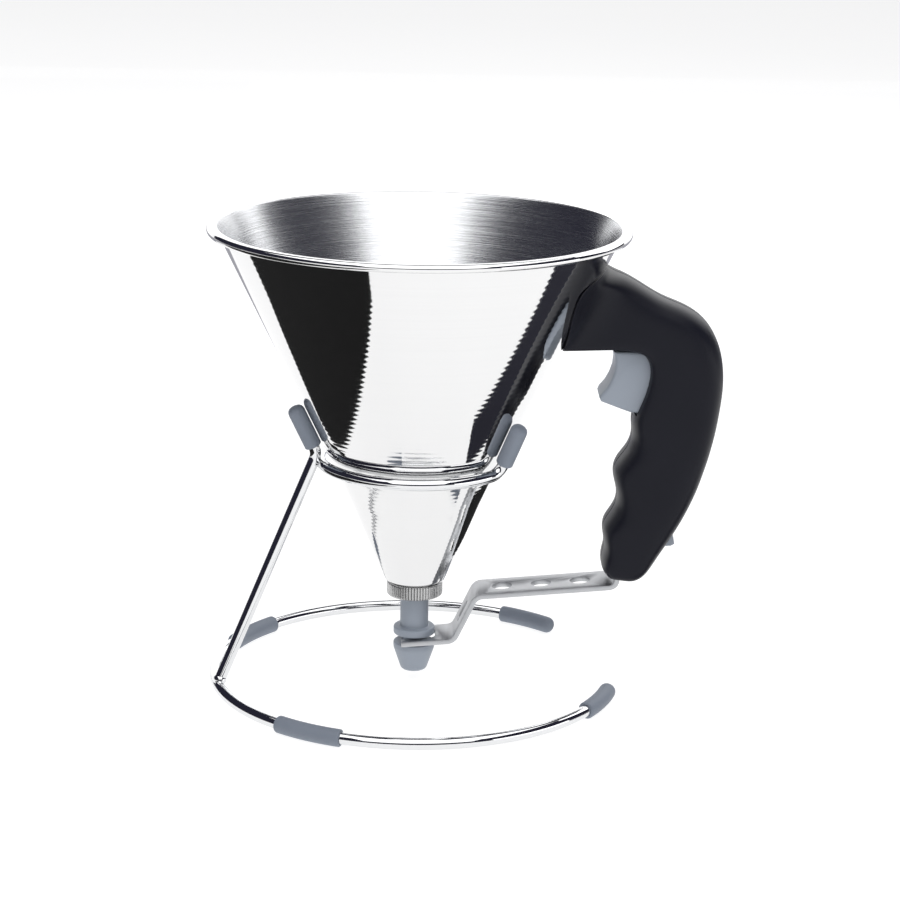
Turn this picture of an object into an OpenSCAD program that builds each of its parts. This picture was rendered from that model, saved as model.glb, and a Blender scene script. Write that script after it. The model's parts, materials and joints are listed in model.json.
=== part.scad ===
// Piston funnel for dispensing batter, held in a bent wire stand.
// The funnel's axis is vertical and the handle lies along +X. The stand rests on z = 0,
// and the origin is the middle of the footprint of the whole object.
// Squeezing the trigger rocks a forked lever about the lever pin, which lifts the outlet nozzle
// and raises its valve head off the seat in the funnel's floor.

/* [Funnel] */
// Outside diameter over the rolled rim
rim_d = 160; // [152:1:168]
// Diameter of the rolled bead
bead_d = 2.9; // [2.4:0.1:3.4]
// How far the rolled rim stands out past the wall, on each side
rim_lip = 4; // [3:0.5:7]
// Height of the upper, wider cone
upper_h = 106; // [100:1:112]
// Outside diameter where the two cones meet
waist_d = 50.6; // [47:0.2:54]
// Height of the lower, steeper cone
lower_h = 32; // [29:0.5:34]
// Outside diameter at the floor
floor_d = 23.2; // [22.8:0.1:24]
// Thickness of the sheet
sheet_t = 1.0; // [0.8:0.1:1.2]

/* [Spigot and collar] */
// Outside diameter of the spigot's thread, modelled plain
thread_d = 17; // [16.6:0.1:17.4]
// Length of the spigot below the floor
spigot_h = 2.8; // [2.6:0.1:3.4]
// Thickness of the spigot's flange and of the valve seat on it
seat_t = 1.2; // [1:0.1:1.6]
// Wall of the spigot and of its bush
spigot_wall = 2; // [1.8:0.1:2.1]
// Thickness of the guide bush's flange
bush_flange_t = 1; // [0.8:0.1:1.2]
// Thickness of the gasket in the collar
gasket_t = 0.8; // [0.6:0.1:1]
// Outside diameter of the knurled collar
collar_d = 21.7; // [21:0.1:23]
// Height of the collar
collar_h = 5.5; // [5.2:0.1:5.8]
// Thickness of the lip that holds the gasket
lip_t = 1.5; // [1.2:0.1:1.7]
// Depth of the knurling
knurl_depth = 0.35; // [0.2:0.05:0.5]
// Number of ridges round the collar
knurl_count = 60; // [40:1:72]

/* [Nozzle] */
// Height of the outlet above the table
outlet_z = 4; // [3:0.5:6]
// Diameter of the outlet bore
outlet_d = 6; // [5:0.2:6.4]
// Diameter of the tip's rounded end
tip_d = 9.8; // [9.2:0.1:10.6]
// Diameter of the tip's top and of the flange above it
flange_d = 16.1; // [15.4:0.1:16.8]
// Height of the tapered tip
tip_h = 11.45; // [10:0.1:13]
// Height of the straight band at the top of the tip
band_h = 2.2; // [1.6:0.1:2.8]
// Height of the groove that the fork sits in
groove_h = 3.4; // [3.35:0.05:3.8]
// Diameter of the neck inside the groove
neck_d = 8.6; // [8:0.1:9]
// Thickness of the flange
flange_t = 3.05; // [2.6:0.1:3.4]
// Diameter of the stem
stem_d = 11; // [10.6:0.1:11.2]
// Free length of the stem between the flange and the collar
stem_h = 13.2; // [12:0.1:15]
// Diameter of the side ports near the top of the stem
port_d = 4; // [3:0.2:4.2]
// Diameter of the valve head
valve_d = 18; // [17:0.2:19]
// Thickness of the valve head
valve_t = 2.8; // [2.2:0.1:3.4]
// Diameter of the seal's cord
seal_d = 1.4; // [1.2:0.1:1.6]

/* [Lever arm] */
// Thickness of the strip
strip_t = 1.9; // [1.6:0.1:2]
// Width of the strip
strip_w = 19; // [17:0.5:20]
// Rise of the strip towards the handle while the valve is shut, in degrees
strip_tilt = 5.3; // [5:0.1:5.5]
// Height that the strip steps up between the nozzle and the handle
step_h = 17.4; // [16:0.2:18.5]
// Distance from the funnel's axis to the first fold
fold_x = 15.4; // [15:0.2:17]
// Slope of the step, in degrees from level
step_angle = 65; // [60:1:72]
// Bend radius on the strip's middle line
bend_r = 3.2; // [2.6:0.1:3.6]
// Width of the slot between the fork's prongs
fork_w = 11; // [10:0.2:12]
// Reach of the prongs past the funnel's axis
fork_tip = 4.9; // [3:0.1:6]
// Distance from the funnel's axis to the closed end of the slot
fork_end = 8.3; // [8.2:0.1:9]
// Diameter of the round holes
strip_hole_d = 7.9; // [6:0.1:9]
// Distance from the funnel's axis to the first round hole
hole_x = 34.2; // [33:0.2:35]
// Distance between the round holes
hole_pitch = 15.15; // [14:0.05:16]
// Width and length of the long hole in the step
long_hole = [4, 9]; // [1:1:9]

/* [Handle] */
// Height of the underside of the bridge between the funnel and the grip
bridge_z = 136; // [134:0.5:138]
// Width of the handle across both shells
grip_w = 28; // [27:0.5:31]
// Wall of the shells
shell_t = 2.5; // [2.2:0.1:2.7]
// Thickness of the saddle that spreads over the funnel
saddle_t = 3.2; // [2.6:0.1:4]
// How far the fillet between the grip and the saddle stands out
saddle_fillet = 5; // [2:0.5:7]
// How far the rounding of the sides reaches in from each side
crown_w = 10; // [7:0.5:11]
// Outside diameter of the screw bosses
boss_d = 5.6; // [5.2:0.1:6]
// Diameter of the screws' shanks
screw_d = 2.8; // [2.4:0.1:3]
// Diameter of the screws' heads
screw_head_d = 5; // [4.6:0.1:5.2]
// Thickness of the bracket welded to the funnel
bracket_t = 4; // [3:0.2:5]
// Width of the bracket's foot on the funnel
bracket_w = 18; // [14:0.5:20]

/* [Trigger] */
// Width of the finger pad
pad_w = 17; // [15:0.5:19]
// Width of the trigger's stem inside the handle
stem_w = 10; // [8:0.5:11]
// Diameter of the lever pin
pin_d = 4; // [3.6:0.1:4.2]
// Outside diameter of the bush on the pin
bush_d = 6; // [5.8:0.1:6.4]
// Outside diameter of the trigger's hub
hub_d = 9; // [8.8:0.1:9.2]
// Width of the hub
hub_w = 12; // [11.5:0.1:12.4]
// Diameter of the return spring's wire
spring_wire = 1; // [0.8:0.1:1.1]

/* [Release latch] */
// Width of the latch
latch_w = 6; // [5:0.5:6.5]
// Diameter of the latch pin
latch_pin_d = 2.5; // [2.2:0.1:2.7]

/* [Stand] */
// Diameter of the wire
wire_d = 4.5; // [4.2:0.1:4.7]
// Outside diameter of the rubber sleeves
sleeve_d = 6.6; // [6.4:0.1:7.2]
// Diameter of the base ring, on the wire's middle line
base_d = 156; // [150:1:157]
// Half of the base ring's opening, to the ends of its caps, in degrees
base_open = 28.9; // [24:0.5:36]
// Angle covered by one end cap
cap_arc = 18.5; // [14:0.5:22]
// Angle between the leg and the middle of each base sleeve
base_sleeve_at = 46; // [36:1:60]
// Angle covered by one base sleeve
base_sleeve_arc = 20; // [14:0.5:24]
// Height of the cradle ring
cradle_z = 89.6; // [84:0.2:92]
// Half of the cradle ring's opening, where its ends start to turn up
cradle_open = 55; // [48:1:65]
// Bend radius of the cradle's upturned ends
cradle_bend = 5; // [4.5:0.1:7]
// Bend radius near the top of the leg
leg_bend = 7; // [6:0.5:10]
// Length of the sleeves that the funnel rests against
cradle_sleeve_h = 17.5; // [14:0.5:20]
// How far the stand is turned about the funnel's axis, away from the handle
stand_turn = 14.8; // [0:0.2:20]

/* [Clearances] */
// Radial clearance of a running fit
run_gap = 0.05; // [0.03:0.01:0.08]
// Gap between soft sleeves and what they carry
rest_gap = 0.3; // [0.2:0.05:0.4]
// Gap round parts that move past each other
move_gap = 0.6; // [0.5:0.05:0.8]

/* [Hidden] */
$fn = 96;
far = 400;
eps = 0.01;

// Heights, from the table upwards
groove_z = outlet_z + tip_h;
flange_z = groove_z + groove_h;
stem_z = flange_z + flange_t;
collar_z = stem_z + stem_h;
gasket_z = collar_z + lip_t;
bush_z = gasket_z + gasket_t + 0.1;
spigot_z = bush_z + bush_flange_t;
floor_z = spigot_z + spigot_h;
seat_z = floor_z + sheet_t + seat_t;
waist_z = floor_z + lower_h;
mouth_z = waist_z + upper_h;

// Outside of the funnel's wall, and its diameter level with the bead's middle
mouth_d = rim_d - 2 * rim_lip;
wall_slope = (mouth_d - waist_d) / 2 / upper_h;
wall_angle = atan(wall_slope);
function wall_r(z) = waist_d / 2 + wall_slope * (z - waist_z);

// The handle's own frame starts where its bridge meets the funnel
grip_x = wall_r(bridge_z);
half_w = grip_w / 2;
inner_w = half_w - shell_t;
// Outline of the grip from its bridge round the fingers and the back: X, Z, depth of rounding
GRIP = [[-2, 0.3, 3], [12, 0.9, 3], [19, 1.3, 2.5], [24, 1.3, 2], [28.3, 0, 1.5],
    [31.3, -3, 1.5], [32.6, -7, 1.5], [32.5, -11.5, 1.5], [31.2, -17, 1.5], [29.2, -22, 1.5],
    [27.3, -26, 2], [26.7, -30, 4], [27.4, -34, 5], [26.7, -38, 5], [25, -41.5, 5],
    [21.9, -45.2, 5], [20.5, -48.5, 5], [20.6, -52, 5], [21.9, -56, 5], [22.4, -60, 5],
    [21.6, -63.6, 5], [19.3, -67.3, 5], [17.3, -70.5, 4], [17.1, -74, 3], [18.3, -78.8, 3],
    [17.3, -82.5, 3], [16.8, -86, 3], [17.6, -89, 3], [20, -91.3, 3], [25, -92.3, 3],
    [30.5, -92, 3], [33.4, -90.6, 4], [36.1, -86.8, 5], [39.8, -81, 6], [43.7, -75, 7],
    [48.1, -67, 8], [52.6, -57, 8], [56.3, -45, 8], [59.1, -33, 8], [60.8, -21, 8],
    [61.3, -11, 8], [60.2, -2, 8], [57, 6, 8], [52, 12, 7], [45, 16, 6], [37, 18.6, 6],
    [30.5, 22.5, 6], [26, 25.8, 6], [21, 27.5, 6], [11, 29.7, 6]];
grip_back = 61.3;
// Screws, the first through the bracket, lever pin and latch pin: X and Z in the handle's frame
SCREWS = [[31, 9.5], [47, 1], [48, -36], [29.6, -87.2]];
LEVER_PIN = [33.1, -79];
LATCH_PIN = [40.8, -69.5];
// Finger pad and the stem behind it: X and Z in the handle's frame
PAD = [[18.3, 0.6], [18.3, -1.9], [18.1, -4.9], [17.7, -9.2], [16.8, -12.7], [15.5, -15.9],
    [14.2, -18.2], [13.9, -19.4], [15, -20.6], [20.2, -22.7], [25.6, -24.6], [29, -25], [38, -22],
    [41, -14], [39, -6], [34.6, -0.6], [27, 0.6]];
STEM = [[27.5, -75], [35.4, -26], [34, -18], [41, -12], [41.6, -24], [36.6, -66], [36.4, -76],
    [33.1, -79]];
FOOT = [[24, -84.2], [24, -75.8], [33.1, -74.6], [33.1, -82]];
// Opening for the pad between the shells
PAD_SLOT = [[16, 2.6], [44, 2.6], [44, -20], [38, -26], [10, -26]];
// The latch: an arm that hangs from its pin, and a tab that stands out of the grip's back
LATCH = [[39.2, -69.5], [39.6, -78], [40.6, -79.2], [43.8, -79], [45.2, -78.2], [44.6, -75.1],
    [43, -74.9], [42.4, -69.5]];
// Window for the latch, and the bottom opening for the strip: low corner, high corner
LATCH_WINDOW = [[38, -80.6], [49, -71.4]];
STRIP_WINDOW = [[18.6, -96], [26.4, -85]];
// Saddle: height above the bridge's underside, half width
SADDLE = [[2.5, 15], [5, 18], [8, 21.3], [12, 25.5], [15.5, 28.8], [20, 32.3], [26, 35.2],
    [31.5, 37.6], [33, 36.8]];
saddle_from = half_w + 0.05;
funnel_gap = 0.35;
grip_gap = 1.2;
BRACKET_WINDOW = [[-10, 3.6], [22, 24.4]];
pad_gap = 0.6;
rivet_d = 3;
rivet_head_t = 0.9;
rivet_y = 3.8;
rivet_z = bridge_z - 81.5;
strip_up_x = grip_x + 24 - strip_t / 2;
strip_top_z = bridge_z - 78.8;

// The strip's middle line while the valve is shut
strip_rise = tan(strip_tilt);
tongue_z = groove_z + groove_h / 2 - 0.05;
step_run = step_h / (tan(step_angle) - strip_rise);
function tongue(x) = tongue_z + strip_rise * x;
function flat(x) = tongue(x) + step_h;
STRIP = [[-fork_tip, tongue(-fork_tip)], [fold_x, tongue(fold_x)],
    [fold_x + step_run, flat(fold_x + step_run)], [strip_up_x, flat(strip_up_x)],
    [strip_up_x, strip_top_z]];

// Stand
sleeve_r = sleeve_d / 2;
wire_r = wire_d / 2;
sleeve_bore = wire_d + 2 * run_gap;
base_z = sleeve_r;
cap_from = base_open + asin(sleeve_d / base_d);
rest_offset = (sleeve_r + rest_gap) / cos(wall_angle);
cradle_r = wall_r(cradle_z) + rest_offset;
weld_depth = 0.9;
wire_sides = 16;
cap_end_t = 1.4;
sleeve_round = 2;
leg_span = [base_d / 2 - cradle_r, cradle_z - base_z];
leg_lean = atan2(leg_span[0], leg_span[1]) - asin((wire_d - weld_depth) / norm(leg_span));
leg_knee_z = (base_d / 2 + base_z * tan(leg_lean) - rest_offset - waist_d / 2
    + wall_slope * waist_z) / (tan(leg_lean) + wall_slope);
leg_knee_x = -wall_r(leg_knee_z) - rest_offset;
leg_turn = leg_lean + wall_angle;
leg_tangent = leg_bend * tan(leg_turn / 2);
leg_length = (leg_knee_z - base_z) / cos(leg_lean) - leg_tangent;

// Middle of the whole object, seen from above
base_out_r = base_d / 2 + wire_r;
centre_x = (grip_x + grip_back - base_out_r) / 2;

// ---------- shared shapes ----------

// Moves a part from the funnel's axis to the object's own origin
module placed() { translate([-centre_x, 0, 0]) children(); }

module on_stand() { placed() rotate([0, 0, stand_turn]) children(); }

// Moves a drawing from the handle's frame, and gives it a width along Y
module grip_slab(width) {
    placed() translate([grip_x, width / 2, bridge_z]) rotate([90, 0, 0])
        linear_extrude(width) children();
}

// Round bar along Y at a point of the handle's frame
module grip_bar(at, d, y0, y1) {
    placed() translate([grip_x + at[0], y1, bridge_z + at[1]]) rotate([90, 0, 0])
        cylinder(d = d, h = y1 - y0, $fn = 48);
}

module grip_box(corners, width) {
    grip_slab(width) translate(corners[0]) square(corners[1] - corners[0]);
}

// Piece of a ring of round wire
module ring_piece(ring_d, wire, from, arc) {
    rotate([0, 0, from]) rotate_extrude(angle = arc, $fn = 180)
        translate([ring_d / 2, 0]) circle(d = wire, $fn = 48);
}

// Tube closed by a rounded end
module end_sleeve(length) {
    rotate_extrude($fn = 64) difference() {
        union() {
            square([sleeve_r - sleeve_round, length]);
            square([sleeve_r, length - sleeve_round]);
            translate([sleeve_r - sleeve_round, length - sleeve_round]) intersection() {
                circle(sleeve_round);
                square(sleeve_round);
            }
        }
        translate([0, -eps]) square([sleeve_bore / 2, length - cap_end_t + eps]);
    }
}

// Solid inside the funnel's wall, grown by a distance square to the wall
module cone_body(grow) {
    shift = grow / cos(wall_angle);
    placed() translate([0, 0, waist_z])
        cylinder(r1 = waist_d / 2 + shift, r2 = mouth_d / 2 + shift, h = upper_h);
}

// A loop's point moved inwards
function left_of(a, b) = [a[1] - b[1], b[0] - a[0]] / norm([b[0] - a[0], b[1] - a[1]]);
function inset(loop, i, d) = let (n = len(loop), u = left_of(loop[(i + n - 1) % n], loop[i]),
    v = left_of(loop[i], loop[(i + 1) % n])) [loop[i][0], loop[i][1]] + (u + v) * d / (1 + u * v);

// Twice the area of a triangle seen along Y, positive where its corners turn left
function turn(a, b, c) = (b[0] - a[0]) * (c[2] - a[2]) - (b[2] - a[2]) * (c[0] - a[0]);
// Whether the corner b of a flat loop stands out, and its triangle holds no other corner
function is_ear(loop, left, a, b, c) = turn(loop[a], loop[b], loop[c]) > 0
    && len([for (p = left) if (p != a && p != b && p != c && turn(loop[a], loop[b], loop[p]) >= 0
        && turn(loop[b], loop[c], loop[p]) >= 0 && turn(loop[c], loop[a], loop[p]) >= 0) p]) == 0;
// Triangles that fill a flat hollow outline, cut off one corner at a time
function ears(loop, left) = let (n = len(left)) n < 4 ? [left] :
    let (k = [for (i = [0:n - 1])
        if (is_ear(loop, left, left[i], left[(i + 1) % n], left[(i + 2) % n])) i][0])
    concat([[left[k], left[(k + 1) % n], left[(k + 2) % n]]],
        ears(loop, [for (i = [0:n - 1]) if (i != (k + 1) % n) left[i]]));
// Triangles that fill a loop between its first half and its second
function rungs(n) = [for (i = [0:(n - 1) / 2 - 1], t = [[i, i + 1, n - 2 - i], [i, n - 2 - i, n - 1 - i]])
    if (t[0] != t[1] && t[1] != t[2]) t];

// Solid between loops of equal length, each a list of points; the ends are flat
module loft(loops, hollow = false) {
    n = len(loops[0]);
    last = len(loops) - 1;
    order = [for (i = [0:n - 1]) i];
    first_end = hollow ? ears(loops[0], order) : rungs(n);
    last_end = hollow ? ears(loops[last], order) : rungs(n);
    polyhedron(points = [for (l = loops, p = l) p],
        faces = concat([for (t = first_end) [t[2], t[1], t[0]]],
            [for (j = [0:last - 1], i = [0:n - 1]) let (a = j * n, k = (i + 1) % n)
                each [[a + i, a + k, a + n + k], [a + i, a + n + k, a + n + i]]],
            [for (t = last_end) [for (i = t) last * n + i]]), convexity = 6);
}

// A point of the grip, moved along X where it would be nearer to the funnel than a gap
function off_funnel(p, gap) = [max(p[0], sqrt(pow(wall_r(p[2]) + gap, 2) - p[1] * p[1])), p[1], p[2]];
// Rings of the grip's half, from y = 0 to y = width, inset all round and crowned at the side
function grip_ring(depth, share, a, y) = [for (i = [0:len(GRIP) - 1])
    let (p = inset(GRIP, i, depth + share * GRIP[i][2] * (1 - cos(a))))
    off_funnel([grip_x + p[0], y, bridge_z + p[1]], grip_gap + depth)];
function grip_rings(depth, share, width, layers) = concat([grip_ring(depth, share, 0, 0)],
    [for (j = [0:layers]) let (a = 90 * j / layers)
        grip_ring(depth, share, a, width - crown_w + crown_w * sin(a))]);
module grip_wall(layers) {
    inner = grip_rings(shell_t, 0.5, inner_w, layers);
    placed() loft(concat([for (j = [len(inner) - 1:-1:0]) inner[j]],
        grip_rings(0, 1, half_w, layers)), hollow = true);
}

// One level of the saddle that spreads from the grip's side over the funnel
function saddle_row(h, from, to) = let (r = wall_r(bridge_z + h), n = 6,
    fillet = saddle_fillet * min(1, max(0, 29 - h) / 8))
    concat([for (k = [0:n]) let (a = asin((from + (to - from) * k / n) / r)) saddle_at(h, a, funnel_gap)],
        [for (k = [n:-1:0]) let (u = k / n, a = asin((from + (to - from) * u) / r))
            saddle_at(h, a, 0.5 + (saddle_t - 0.5) * sqrt(1 - u * u)
                + fillet * pow(max(0, 1 - u / 0.5), 2))]);
function saddle_at(h, a, t) = [(wall_r(bridge_z + h) + t) * cos(a),
    (wall_r(bridge_z + h) + t) * sin(a), bridge_z + h];

// Middle line with its corners rounded, as points and the directions between them
function corner(p, i) = let (u = (p[i] - p[i - 1]) / norm(p[i] - p[i - 1]),
    v = (p[i + 1] - p[i]) / norm(p[i + 1] - p[i]), side = sign(u[0] * v[1] - u[1] * v[0]),
    turn = acos(u * v), c = p[i] - u * bend_r * tan(turn / 2) + side * bend_r * [-u[1], u[0]])
    [for (k = [0:6]) let (a = atan2(u[1], u[0]) + side * turn * k / 6)
        [c - side * bend_r * [-sin(a), cos(a)], a]];
function rounded(p) = concat([[p[0], atan2(p[1][1] - p[0][1], p[1][0] - p[0][0])]],
    [for (i = [1:len(p) - 2]) each corner(p, i)],
    [[p[len(p) - 1], atan2(p[len(p) - 1][1] - p[len(p) - 2][1], p[len(p) - 1][0] - p[len(p) - 2][0])]]);
function beside(line, d) = [for (q = line) q[0] + d * [-sin(q[1]), cos(q[1])]];
module ribbon(p, t) {
    line = rounded(p);
    back = beside(line, -t / 2);
    polygon(concat(beside(line, t / 2), [for (i = [len(back) - 1:-1:0]) back[i]]));
}

// Tube swept along a path of points, square to each piece of it
function unit(v) = v / norm(v);
function way(path, i) = unit(path[min(i + 1, len(path) - 1)] - path[max(i - 1, 0)]);
module swept_wire(path, d, up, sides = 8) {
    loft([for (i = [0:len(path) - 1]) let (w = way(path, i), a = unit(cross(w, up)), b = cross(a, w))
        [for (k = [0:sides - 1]) path[i] + d / 2 * (cos(360 * k / sides) * a
            + sin(360 * k / sides) * b)]]);
}

// Coil round the Y axis with a straight leg at each end
module torsion_spring(r, wire, turns, legs, from) {
    per_turn = 18;
    pitch = wire * 1.05;
    end = turns * 360;
    coil = [for (i = [0:turns * per_turn]) let (a = from + 360 * i / per_turn)
        [r * cos(a), pitch * i / per_turn, r * sin(a)]];
    first = coil[0] + legs[0] * [sin(from), 0, -cos(from)];
    final = coil[len(coil) - 1] + legs[1] * [-sin(from + end), 0, cos(from + end)];
    swept_wire(concat([first], coil, [final]), wire, [0, 1, 0]);
}

// ---------- stand ----------

module base_ring() {
    color("silver") on_stand() translate([0, 0, base_z])
        ring_piece(base_d, wire_d, cap_from, 360 - 2 * cap_from);
}

module base_end_caps() {
    color("slategray") for (side = [0, 1]) on_stand() mirror([0, side, 0])
        translate([0, 0, base_z]) {
            difference() {
                ring_piece(base_d, sleeve_d, cap_from, base_open + cap_arc - cap_from);
                ring_piece(base_d, sleeve_bore, cap_from - 1, 90);
            }
            rotate([0, 0, cap_from]) translate([base_d / 2, 0, 0]) rotate([90, 0, 0])
                rotate_extrude($fn = 64) intersection() {
                    circle(sleeve_r);
                    square(sleeve_r);
                }
        }
}

module base_sleeves() {
    color("slategray") for (side = [-1, 1])
        on_stand() translate([0, 0, base_z]) difference() {
            ring_piece(base_d, sleeve_d, 180 + side * base_sleeve_at - base_sleeve_arc / 2,
                base_sleeve_arc);
            ring_piece(base_d, sleeve_bore, 180 + side * base_sleeve_at - base_sleeve_arc,
                2 * base_sleeve_arc);
        }
}

// Places what follows where the leg's bend ends, pointing up its tip
module along_leg_tip() {
    on_stand() translate([leg_knee_x, 0, leg_knee_z]) rotate([0, -wall_angle, 0])
        translate([0, 0, leg_tangent]) children();
}

// A point of the leg's plane, at a distance along a line that leans from the vertical
function leaning(from, lean, d) = from + d * [sin(lean), 0, cos(lean)];

module support_leg() {
    foot = leaning([-base_d / 2, 0, base_z], leg_lean, wire_d - weld_depth - wire_r);
    bend_from = leaning([leg_knee_x, 0, leg_knee_z], leg_lean, -leg_tangent);
    middle = bend_from - leg_bend * [cos(leg_lean), 0, -sin(leg_lean)];
    tip = leaning([leg_knee_x, 0, leg_knee_z], -wall_angle, leg_tangent + cradle_sleeve_h - cap_end_t);
    bend = [for (k = [0:8]) let (a = leg_lean - leg_turn * k / 8)
        middle + leg_bend * [cos(a), 0, -sin(a)]];
    color("silver") on_stand() swept_wire(concat([foot], bend, [tip]), wire_d, [0, 1, 0], wire_sides);
}

module leg_sleeve() {
    color("slategray") along_leg_tip() end_sleeve(cradle_sleeve_h);
}

// Places what follows at the start of one of the cradle's upturned ends
module at_cradle_end(side) {
    on_stand() rotate([0, 0, side * cradle_open])
        translate([cradle_r, 0, cradle_z]) rotate([0, wall_angle, 0]) children();
}

// The upturned end of the cradle: its middle line from the tip down to the ring
function cradle_end(side) = let (
    out = [cos(cradle_open), side * sin(cradle_open), 0],
    along = [-sin(cradle_open), side * cos(cradle_open), 0],
    up = cos(wall_angle) * [0, 0, 1] + sin(wall_angle) * out,
    start = [0, 0, cradle_z] + cradle_r * out,
    tip = start - cradle_bend * along + (cradle_bend + cradle_sleeve_h - cap_end_t) * up)
    concat([tip], [for (k = [0:6]) let (a = 15 * k)
        start - cradle_bend * cos(a) * along + cradle_bend * (1 - sin(a)) * up]);

module cradle_ring() {
    steps = 48;
    ring = [for (k = [1:steps - 1]) let (a = cradle_open + (360 - 2 * cradle_open) * k / steps)
        [cradle_r * cos(a), cradle_r * sin(a), cradle_z]];
    lower = cradle_end(-1);
    color("silver") on_stand() swept_wire(concat(cradle_end(1), ring,
        [for (i = [len(lower) - 1:-1:0]) lower[i]]), wire_d, [0, 0, 1], wire_sides);
}

module cradle_sleeves() {
    color("slategray") for (side = [-1, 1]) at_cradle_end(side)
        translate([0, -side * cradle_bend, cradle_bend]) end_sleeve(cradle_sleeve_h);
}

// ---------- funnel ----------

module funnel_cone() {
    across = sheet_t / cos(wall_angle);
    hole_r = thread_d / 2 + run_gap;
    bead_r = rim_d / 2 - bead_d / 2;
    color("lightgray") placed() rotate_extrude($fn = 180) {
        polygon([[floor_d / 2, floor_z], [waist_d / 2, waist_z], [mouth_d / 2, mouth_z],
            [mouth_d / 2, mouth_z + bead_d / 2], [mouth_d / 2 - across, mouth_z + bead_d / 2],
            [mouth_d / 2 - across, mouth_z], [waist_d / 2 - across, waist_z],
            [floor_d / 2 - across, floor_z + sheet_t], [hole_r, floor_z + sheet_t],
            [hole_r, floor_z]]);
        translate([mouth_d / 2 - eps, mouth_z + bead_d / 2 - sheet_t])
            square([bead_r - mouth_d / 2 + eps, sheet_t]);
        translate([bead_r, mouth_z]) circle(d = bead_d, $fn = 48);
    }
}

module threaded_spigot() {
    color("silver") placed() rotate_extrude() polygon([[thread_d / 2, spigot_z],
        [thread_d / 2, floor_z + sheet_t], [floor_d / 2 - sheet_t - 0.4, floor_z + sheet_t],
        [floor_d / 2 - sheet_t - 0.4, seat_z], [thread_d / 2 - spigot_wall, seat_z],
        [thread_d / 2 - spigot_wall, spigot_z]]);
}

module guide_bush() {
    outer_r = thread_d / 2 - spigot_wall - run_gap;
    color("white") placed() rotate_extrude() polygon([[stem_d / 2 + run_gap, bush_z],
        [thread_d / 2 - 0.2, bush_z], [thread_d / 2 - 0.2, spigot_z], [outer_r, spigot_z],
        [outer_r, seat_z - 0.2], [stem_d / 2 + run_gap, seat_z - 0.2]]);
}

module cone_bracket() {
    foot_t = 2;
    low = -3 + bridge_z;
    color("silver") difference() {
        union() {
            intersection() {
                difference() {
                    cone_body(foot_t);
                    cone_body(0);
                }
                placed() translate([grip_x - 10, -bracket_w / 2, low + 7])
                    cube([40, bracket_w, 20]);
            }
            difference() {
                placed() translate([grip_x - 10, -bracket_t / 2, low + 9])
                    cube([48, bracket_t, 9]);
                cone_body(0);
            }
        }
        grip_bar(SCREWS[0], screw_d + 0.4, -bracket_t, bracket_t);
    }
}

// ---------- collar ----------

module knurled_collar() {
    ridge = collar_d / 2;
    color("gray") placed() difference() {
        translate([0, 0, collar_z]) linear_extrude(collar_h)
            polygon([for (i = [0:2 * knurl_count - 1]) let (a = 180 * i / knurl_count,
                r = i % 2 == 0 ? ridge : ridge - knurl_depth) [r * cos(a), r * sin(a)]]);
        translate([0, 0, gasket_z]) cylinder(d = thread_d + 2 * run_gap, h = collar_h);
        translate([0, 0, collar_z - 1]) cylinder(d = stem_d + 1.4, h = collar_h);
    }
}

module collar_gasket() {
    color("dimgray") placed() translate([0, 0, gasket_z]) difference() {
        cylinder(d = thread_d - 0.4, h = gasket_t);
        translate([0, 0, -1]) cylinder(d = stem_d + 0.8, h = gasket_t + 2);
    }
}

// ---------- nozzle ----------

valve_z = seat_z + 0.15;
stud_d = 4.8;

module outlet_nozzle() {
    tip_round = 1.2;
    top = valve_z + seal_d / 2;
    port_z = seat_z - 0.6 - port_d / 2;
    wide_z = port_z - port_d / 2 - 3;
    color("lightsteelblue") placed() difference() {
        rotate_extrude() polygon([[0, outlet_z], [tip_d / 2 - tip_round, outlet_z],
            [tip_d / 2, outlet_z + tip_round], [flange_d / 2, groove_z - band_h],
            [flange_d / 2, groove_z], [neck_d / 2, groove_z], [neck_d / 2, flange_z],
            [flange_d / 2, flange_z], [flange_d / 2, stem_z], [stem_d / 2, stem_z],
            [stem_d / 2, top], [stud_d / 2, top], [stud_d / 2, valve_z + seal_d + 1.8],
            [0, valve_z + seal_d + 1.8]]);
        translate([0, 0, outlet_z - 1]) cylinder(d = outlet_d, h = wide_z - outlet_z + 1);
        translate([0, 0, wide_z - eps])
            cylinder(d = outlet_d + 0.8, h = port_z + port_d / 2 - wide_z);
        for (a = [45, 135]) rotate([0, 0, a]) translate([0, 0, port_z]) rotate([90, 0, 0])
            cylinder(d = port_d, h = 2 * stem_d, center = true, $fn = 48);
    }
}

module valve_head() {
    color("whitesmoke") placed() translate([0, 0, valve_z]) difference() {
        rotate_extrude() polygon([[0, seal_d / 2], [seal_r() - seal_d / 2 - 0.1, seal_d / 2],
            [seal_r() - seal_d / 2 - 0.1, seal_d], [valve_d / 2, seal_d],
            [valve_d / 2, seal_d + valve_t / 2], [valve_d / 4, seal_d + valve_t],
            [0, seal_d + valve_t]]);
        translate([0, 0, -1]) cylinder(d = stud_d + 2 * run_gap, h = seal_d + 2.9);
    }
}

function seal_r() = stem_d / 2 + 1.7;

module valve_seal() {
    color("dimgray") placed() translate([0, 0, valve_z + seal_d / 2])
        rotate_extrude() translate([seal_r(), 0]) circle(d = seal_d, $fn = 32);
}

// ---------- lever ----------

// Places what follows on the strip's middle line, square to one of its straight pieces
module on_strip(at, angle) {
    placed() translate([at[0], 0, at[1]]) rotate([0, -angle, 0]) children();
}

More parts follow.
